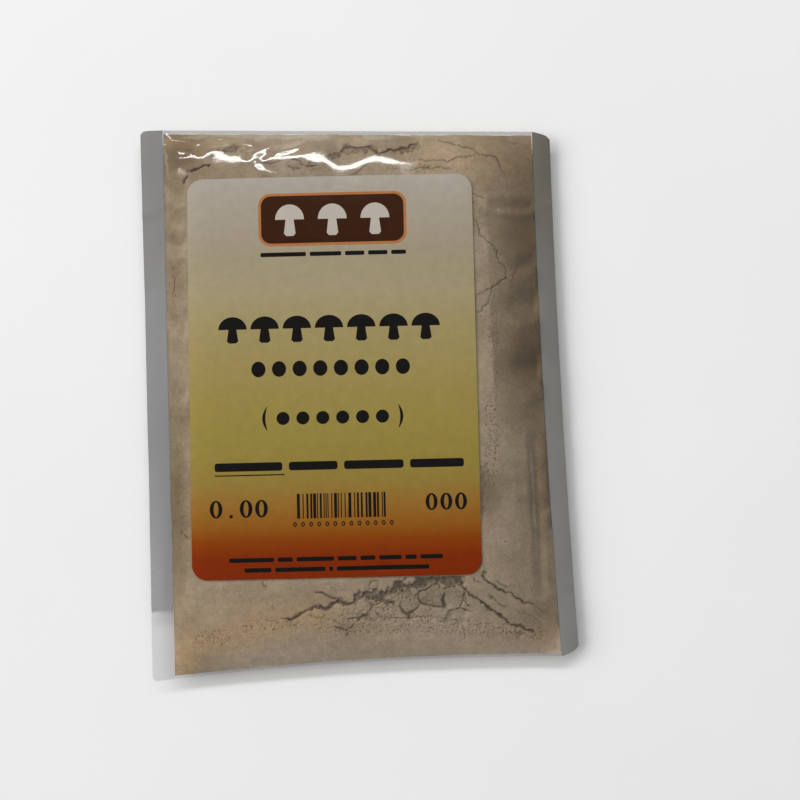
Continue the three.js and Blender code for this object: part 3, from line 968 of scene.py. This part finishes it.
def grown(source, tree, name, settings):
    """The plain mesh that a node tree makes from a copy of the source."""
    carrier = bpy.data.objects.new(name, source.data.copy())
    bpy.context.scene.collection.objects.link(carrier)
    modifier = carrier.modifiers.new(name, "NODES")
    modifier.node_group = tree
    for item in tree.interface.items_tree:
        if item.in_out == "INPUT" and item.name in settings:
            modifier[item.identifier] = settings[item.name]
    evaluated = carrier.evaluated_get(bpy.context.evaluated_depsgraph_get())
    mesh = bpy.data.meshes.new_from_object(evaluated)
    mesh.name = name
    carrier.modifiers.remove(modifier)
    carrier.data = mesh
    return carrier


def make_crumbs(powder, material):
    """Loose crumbs in the powder's cracks and hollows."""
    made = grown(powder, crumb_tree(), "loose_crumbs", {**CRUMB_SETTINGS, "Material": material})
    made.data.shade_smooth()
    set_attribute(made.data, "hollow", np.full(len(made.data.vertices), CRUMB_SHADE))
    return made


# ---------- The film ----------
def runs(*stops):
    """Positions through the stops. Each stop after the first is (where, the step on the way to it)."""
    positions = [np.array([stops[0]])]
    start = stops[0]
    for end, size in stops[1:]:
        positions.append(np.linspace(start, end, max(1, round((end - start) / size)) + 1)[1:])
        start = end
    return np.concatenate(positions)


def film_dullness(x, y):
    """How scuffed the front film is: in its top right corner, and beside the side welds."""
    top_right = step(x + 1.5 * noise(x, y, 5, 55), 12, 18) * step(y, 50, 60)
    top_left = step(y, 58, 63) * (x < 0)  # this corner stays clear
    beside_welds = np.maximum(1 - step(x, -44.5, -42), step(x, 45, 47.5)) * (1 - top_left)
    return np.maximum(top_right, 0.9 * beside_welds)


def make_front_film(material):
    """The front panel. Its points are closest where its folds are finest, along its left and its top."""
    left, right = LABEL_LEFT / HALF_WIDTH, (LABEL_LEFT + LABEL_WIDTH) / HALF_WIDTH
    s = runs(-1, (left, 0.35 / HALF_WIDTH), (right, 0.55 / HALF_WIDTH), (1, 0.38 / HALF_WIDTH))
    t = runs(-1, (-0.66, 0.5 / HALF_HEIGHT), (0.82, 1.0 / HALF_HEIGHT), (1, 0.32 / HALF_HEIGHT))
    x, y = in_plan(*np.meshgrid(s, t))
    low = film_height(x, y)
    made = make_piece("front_film_panel", *slab(x, y, low, low + FILM), material)
    dull = film_dullness(x, y).ravel()
    set_attribute(made.data, "dull", np.concatenate([dull, dull]))
    finish_piece(made, "clear_film", "front_film")


def make_back_film(material):
    """The back panel, on which the pouch lies."""
    s = runs(-1, (-0.75, 0.6 / HALF_WIDTH), (0.75, 3 / HALF_WIDTH), (1, 0.6 / HALF_WIDTH))
    t = runs(-1, (1, 0.8 / HALF_HEIGHT))
    x, y = in_plan(*np.meshgrid(s, t))
    high = back_height(x, y)
    made = make_piece("back_film_panel", *slab(x, y, high - FILM, high), material)
    finish_piece(made, "clear_film", "back_film")


CORNER_LENGTH, CORNER_DEPTH = 1.2, 0.9  # the round on a flange's outer corners, along it and across it
# Sharp bends across each flange: how high up the pouch each is, and how far it lifts the outer edge
CREASES = {"left": [(50.5, 0.35), (-55, -0.4)], "right": [(50.5, 0.35), (-52.5, -0.4)]}
CREASE_REACH = 1.3  # how far above and below it a crease is felt


def flange_shares(side, u, y):
    """How hazy a side weld is, and how far its colour darkens, at each of its points. On the right weld
    the darkening is painted shade.
    """
    if side < 0:
        haze = 0.52 + 0.36 * step(y, -52, 10) - 0.42 * (1 - step(y, -55.4, -54.6))
        # On the left weld the colour darkens towards the top and towards the outer edge.
        dust_and_shade = 0.25 * step(y, 10, 60) + 0.15 * u
    else:
        haze = np.full(y.shape, 0.93)
        # The right weld is darkened all along with painted shade, the more towards the top.
        dust_and_shade = 0.42 + 0.18 * step(y, -30, 20) + 0.35 * step(y, 20, 60)
    return {"haze": haze, "dust_and_shade": dust_and_shade}


def make_side_seal(side, material):
    """A side weld, from the panels (u = 0) to its outer edge (u = 1), with slow waves along it."""
    name, inner, outer = ("left", panel_left, outer_left) if side < 0 else ("right", panel_right, outer_right)
    low_end, high_end = FLANGE_END[name]
    u, t = np.meshgrid(runs(0, (1, 0.08)), runs(-1, (1, 0.8 / HALF_HEIGHT)))
    if side < 0:
        u = u[:, ::-1]  # x always grows along a row
    along = (t + 1) / 2
    x = mix(inner(t) + side * BUTT, outer(t), u)
    inner_y = mix(fold_edge(side), weld_top(side), along)
    y = mix(inner_y, mix(low_end, high_end, along), u)
    from_end = np.minimum(1 - np.abs(t), CORNER_LENGTH / HALF_HEIGHT) * HALF_HEIGHT / CORNER_LENGTH
    cut = 1 - np.sqrt(np.clip(1 - (1 - from_end) ** 2, 0, 1))
    x = x - side * CORNER_DEPTH * cut * u**4
    middle = SEAM_Z - FLANGE_DROOP * u * u + u * (waves(x, y, "long flange") + waves(x, y, "short flange"))
    middle += sum(lift * u * np.exp(-(((y - at) / CREASE_REACH) ** 2)) for at, lift in CREASES[name])
    made = make_piece(name + "_side_weld", *slab(x, y, middle - WELD / 2, middle + WELD / 2), material)
    for share, values in flange_shares(side, u, y).items():
        set_attribute(made.data, share, np.concatenate([values.ravel(), values.ravel()]))
    finish_piece(made, "welded_film", name + "_side_seal")


def make_end_strip(name, edge, outer, direction, thickness, haze, material):
    """The strip along the top or the bottom, from the panels' edge (v = 0) out to the pouch's edge."""
    s, v = np.meshgrid(runs(-1, (1, 0.8 / HALF_WIDTH)), runs(0, (1, 0.34)))
    x = mix(panel_left(direction) + BUTT, panel_right(direction) - BUTT, (s + 1) / 2)
    y = mix(edge(s) + direction * BUTT, outer(s), v)
    middle = SEAM_Z + waves(x, 0 * y, "end strip") * v
    if direction < 0:
        x, y, middle = x[::-1], y[::-1], middle[::-1]
    made = make_piece(name, *slab(x, y, middle - thickness / 2, middle + thickness / 2), material)
    set_attribute(made.data, "haze", np.full(len(made.data.vertices), haze))
    return made


# ---------- The label and its printing ----------
# Here a shape's place is given from the label's top left corner, with y below zero, and its outline
# comes out as plan points.
INK = 0.02  # one coat of ink
INK_GAP = 0.004  # left between coats
GRID = 1.3  # how far apart the points are inside the label


def label_height(x, y):
    """The label's upper face."""
    return film_height(x, y) + FILM + AIR + LABEL


def rounded_box(left, right, bottom, top, radius, turns=6):
    """A rectangle with round corners, anticlockwise."""
    outline = []
    centres = [(right - radius, top - radius), (left + radius, top - radius),
               (left + radius, bottom + radius), (right - radius, bottom + radius)]
    for quarter, (cx, cy) in enumerate(centres):
        for k in range(turns + 1):
            angle = math.pi / 2 * (quarter + k / turns)
            outline.append((LABEL_LEFT + cx + radius * math.cos(angle),
                            LABEL_TOP + cy + radius * math.sin(angle)))
    return outline


def closely_pointed(outline, size):
    """The outline with points added along it, so that no side is longer than size."""
    points = []
    for (ax, ay), (bx, by) in zip(outline, outline[1:] + outline[:1]):
        count = max(1, math.ceil(math.hypot(bx - ax, by - ay) / size))
        points += [(mix(ax, bx, k / count), mix(ay, by, k / count)) for k in range(count)]
    return points


def word_bars(left, right, bottom, top, rhythm, gap):
    """A rounded bar for each number in rhythm, as wide in proportion, from left to right."""
    unit = (right - left - gap * (len(rhythm) - 1)) / sum(rhythm)
    bars, start = [], left
    for width in rhythm:
        end = start + width * unit
        bars.append(rounded_box(start, end, bottom, top, min(top - bottom, end - start) * 0.3, 3))
        start = end + gap
    return bars


def bar_pattern(left, right, bottom, top, modules, seed):
    """Upright bars one to three modules wide, with plain gaps between them."""
    random = np.random.default_rng(seed)
    module = (right - left) / modules
    bars, at = [], 0
    while at < modules:
        wide = min(int(random.integers(1, 4)), modules - at)
        x0 = LABEL_LEFT + left + at * module
        x1 = x0 + wide * module
        bars.append([(x0, LABEL_TOP + bottom), (x1, LABEL_TOP + bottom),
                     (x1, LABEL_TOP + top), (x0, LABEL_TOP + top)])
        at += wide + int(random.integers(1, 4))
    return bars


def mushroom_mark(cx, cy, width, height):
    """A plain mushroom: a domed cap over a short stem, anticlockwise."""
    arc = [(math.cos(a), math.sin(a)) for a in np.linspace(0, math.pi, 17)]
    cap = [(0.5 * x, 0.02 + 0.48 * y) for x, y in arc]
    stem = [(-0.14, 0.02), (-0.2, -0.42), (-0.12, -0.5), (0.12, -0.5), (0.2, -0.42), (0.14, 0.02)]
    return [(LABEL_LEFT + cx + width * x, LABEL_TOP + cy + height * y) for x, y in cap + stem]


def oval(cx, cy, width, height, turns=20):
    """An oval outline, anticlockwise."""
    outline = []
    for a in np.linspace(0, math.tau, turns, endpoint=False):
        outline.append((LABEL_LEFT + cx + width / 2 * math.cos(a), LABEL_TOP + cy + height / 2 * math.sin(a)))
    return outline


def bracket(cx, cy, width, height, side):
    """A curved bracket, thickest in its middle, that bulges to one side, anticlockwise."""
    rise = np.linspace(-1, 1, 13)
    outer = [(1 - r * r, r) for r in rise]
    inner = [(0.35 - 0.4 * r * r, 0.96 * r) for r in rise[::-1]]
    ring = outer + inner
    if side < 0:
        ring = [(-x, y) for x, y in reversed(ring)]
    return [(LABEL_LEFT + cx + width * x, LABEL_TOP + cy + height / 2 * y) for x, y in ring]


def label_print():
    """Outlines of each ink, and of the holes in the black."""
    black, holes = [], []
    # A row of seven mushrooms, a row of dots, and a row of dots between brackets
    black += [mushroom_mark(cx, -40.3, 7.4, 6.9) for cx in np.linspace(11.6, 62, 7)]
    black += [oval(cx, -50.7, 3.7, 4.1) for cx in np.linspace(18.2, 55.8, 8)]
    black += [bracket(20.2, -63.6, 1.2, 6.2, -1), bracket(54.4, -63.6, 1.2, 6.2, 1)]
    black += [oval(cx, -63.6, 3.4, 3.4) for cx in np.linspace(24.4, 50.2, 6)]
    # A line of bars, whose first is underlined
    black += word_bars(6.4, 71, -77.1, -74.9, [12, 8.6, 10.5, 9.5], 1.7)
    black.append(rounded_box(6.4, 24.6, -78.3, -78.0, 0.1, 2))
    # Noughts: three with a point at the left, and three at the right
    for cx in (6.6, 14.4, 18.4):
        black.append(oval(cx, -86.8, 3.3, 4.6))
        holes.append(oval(cx, -86.8, 1.3, 3.8))
    black.append(oval(10.5, -88.7, 0.95, 0.95, 10))
    for cx in (62.4, 66.2, 70):
        black.append(oval(cx, -86, 3.1, 4.4))
        holes.append(oval(cx, -86, 1.2, 3.6))
    # Small bars under the plaque and at the foot
    black += word_bars(19.2, 57.3, -21.2, -20.1, [13, 9, 5.5, 5.5, 4.2], 1.0)
    black += word_bars(9.8, 65, -100.6, -99.5, [12, 4, 10, 5, 4, 6, 3, 6], 1.0)
    black += word_bars(13.7, 61.4, -103.2, -102.1, [7, 13, 1, 24], 1.0)
    # Upright bars over small noughts
    black += bar_pattern(27.6, 51, -89.6, -83.2, 95, 5)
    for cx in np.linspace(27, 52, 13):
        black.append(oval(cx, -91.1, 0.95, 1.3, 10))
        holes.append(oval(cx, -91.1, 0.4, 0.75, 8))
    return {
        "plaque_rim": [rounded_box(18.8, 57.6, -18.4, -4.4, 3.2)],
        "plaque": [rounded_box(19.5, 56.9, -17.7, -5.1, 2.6)],
        "mark": [mushroom_mark(cx, -11.6, 7.6, 8.4) for cx in (27, 38.2, 49.4)],
        "black": black,
        "hole": holes,
    }


def grid_points():
    """Plan points over the label's inside, which let it follow the film. Its corners have none."""
    across, down = np.meshgrid(np.arange(0.6, LABEL_WIDTH, GRID), np.arange(0.6, LABEL_HEIGHT, GRID))
    x, y = across.ravel() + LABEL_LEFT, LABEL_TOP - down.ravel()
    near_side = np.abs(x - LABEL_CENTRE[0]) > LABEL_WIDTH / 2 - LABEL_CORNER / 2
    near_end = np.abs(y - LABEL_CENTRE[1]) > LABEL_HEIGHT / 2 - LABEL_CORNER / 2
    keep = ~(near_side & near_end)
    return list(zip(x[keep], y[keep]))


def make_label(materials):
    """The label's paper, and each ink as a thin coat over it. The same triangles serve them all."""
    outline = closely_pointed(rounded_box(0, LABEL_WIDTH, -LABEL_HEIGHT, 0, LABEL_CORNER, 10), 1.0)
    shapes = [("paper", outline)]
    shapes += [(ink, shape) for ink, group in label_print().items() for shape in group]
    points, loops = [], []
    for _, shape in shapes:
        loops.append(list(range(len(points), len(points) + len(shape))))
        points += shape
    plan, triangles, owners, _ = triangulate(points + grid_points(), loops)
    top = label_height(*plan.T)
    made = make_piece("label_paper", *layer_between(plan, triangles, top - LABEL, top), materials["paper"])
    finish_piece(made, "label_paper", "label")
    inside = {}
    for k, (name, _) in enumerate(shapes):
        inside.setdefault(name, set()).add(k)
    for ink, coats_below in (("plaque_rim", 0), ("plaque", 1), ("mark", 2), ("black", 0)):
        chosen = [face for face, owner in zip(triangles, owners)
                  if inside[ink] & set(owner) and not inside["hole"] & set(owner)]
        base = top + INK_GAP + coats_below * (INK + INK_GAP)
        layer = layer_between(plan, chosen, base, base + INK)
        made = make_piece("label_print_" + ink, *layer, materials[ink])
        finish_piece(made, "label_paper")


# ---------- Floor, light and camera ----------
FLOOR_HALF = 3000.0  # half the floor's side


def make_floor(material):
    """A plain floor at the height on which the pouch lies."""
    ends = (-FLOOR_HALF, FLOOR_HALF)
    corners = [(x, y, 0) for x in ends for y in ends]
    made = make_piece("floor", corners, [(0, 2, 3, 1)], material)


def aim(thing, place, target):
    """Puts a light at a place, turned towards the target."""
    thing.location = place
    thing.rotation_euler = (Vector(target) - Vector(place)).to_track_quat("-Z", "Y").to_euler()


def add_light(name, azimuth, zenith, distance, slide, size, power, mirrored):
    """A soft rectangular light. azimuth turns it left from +Y, zenith tips it down from overhead, and
    slide then moves it, and what it points at, along X."""
    data = bpy.data.lights.new(name, "AREA")
    data.shape = "RECTANGLE"
    data.size, data.size_y = size
    data.energy = power
    light = bpy.data.objects.new(name, data)
    light.visible_glossy = mirrored
    bpy.context.scene.collection.objects.link(light)
    turn, tip = math.radians(azimuth), math.radians(zenith)
    place = Vector((-math.sin(turn) * math.sin(tip), math.cos(turn) * math.sin(tip), math.cos(tip)))
    aside = Vector((slide, 0, 0))
    aim(light, place * distance + aside, aside)


def light_stage():
    """A long narrow light beyond the top, which the film mirrors, a broad one at the left, and a white
    room that fills the shadows."""
    add_light("key_softbox", azimuth=0, zenith=45, distance=2.0, slide=-0.3,
              size=(2.5, 0.22), power=19.5, mirrored=True)
    add_light("side_softbox", azimuth=80, zenith=52, distance=2.6, slide=0,
              size=(2.2, 2.0), power=48.0, mirrored=False)
    world = bpy.data.worlds.new("studio")
    world.use_nodes = True
    background = world.node_tree.nodes["Background"].inputs
    background["Color"].default_value = linear("#ffffff")
    background["Strength"].default_value = 0.28
    bpy.context.scene.world = world
    bpy.context.scene.view_settings.view_transform = "Standard"


def add_camera():
    """The camera looks down on the pouch from a little below its bottom edge."""
    target = Vector((11.4, -1.1, 8.0)) * MM
    distance, tilt, roll = 350 * MM, math.radians(3.74), math.radians(-1.34)
    data = bpy.data.cameras.new("camera")
    data.lens = 60.2
    data.sensor_width = 36.0
    data.clip_start = 0.01
    camera = bpy.data.objects.new("camera", data)
    bpy.context.scene.collection.objects.link(camera)
    camera.location = target + Vector((0, -math.sin(tilt), math.cos(tilt))) * distance
    turn = Matrix.Rotation(tilt, 3, "X") @ Matrix.Rotation(roll, 3, "Z")
    camera.rotation_euler = turn.to_euler()
    bpy.context.scene.camera = camera


def build():
    """The camera and the stage, then the pouch from its powder outwards."""
    add_camera()
    light_stage()
    make_floor(floor_material())
    powder_look, film_look, weld_look = powder_material(), film_material(), weld_material()
    powder = make_powder(powder_look)
    crumbs = make_crumbs(powder, powder_look)
    finish_piece(powder, "mushroom_powder", "mushroom_powder")
    finish_piece(crumbs, "mushroom_powder")
    make_front_film(film_look)
    make_back_film(film_look)
    make_side_seal(-1, weld_look)
    make_side_seal(1, weld_look)
    top = make_end_strip("top_weld", panel_top, weld_top, 1, WELD, 0.3, weld_look)
    finish_piece(top, "welded_film", "top_seal")
    bottom = make_end_strip("bottom_crease", panel_bottom, fold_edge, -1, WELD + AIR, 0.03, weld_look)
    finish_piece(bottom, "clear_film", "bottom_fold")
    make_label({
        "paper": label_material(),
        "plaque_rim": ink_material("orange_ink", "#a5683a", "#b5764a"),
        "plaque": ink_material("brown_ink", "#33190b", "#3f2110"),
        "mark": ink_material("white_ink", "#b3aaa0", "#bdb4aa"),
        "black": ink_material("black_ink", "#100f0f", "#191816"),
    })


build()
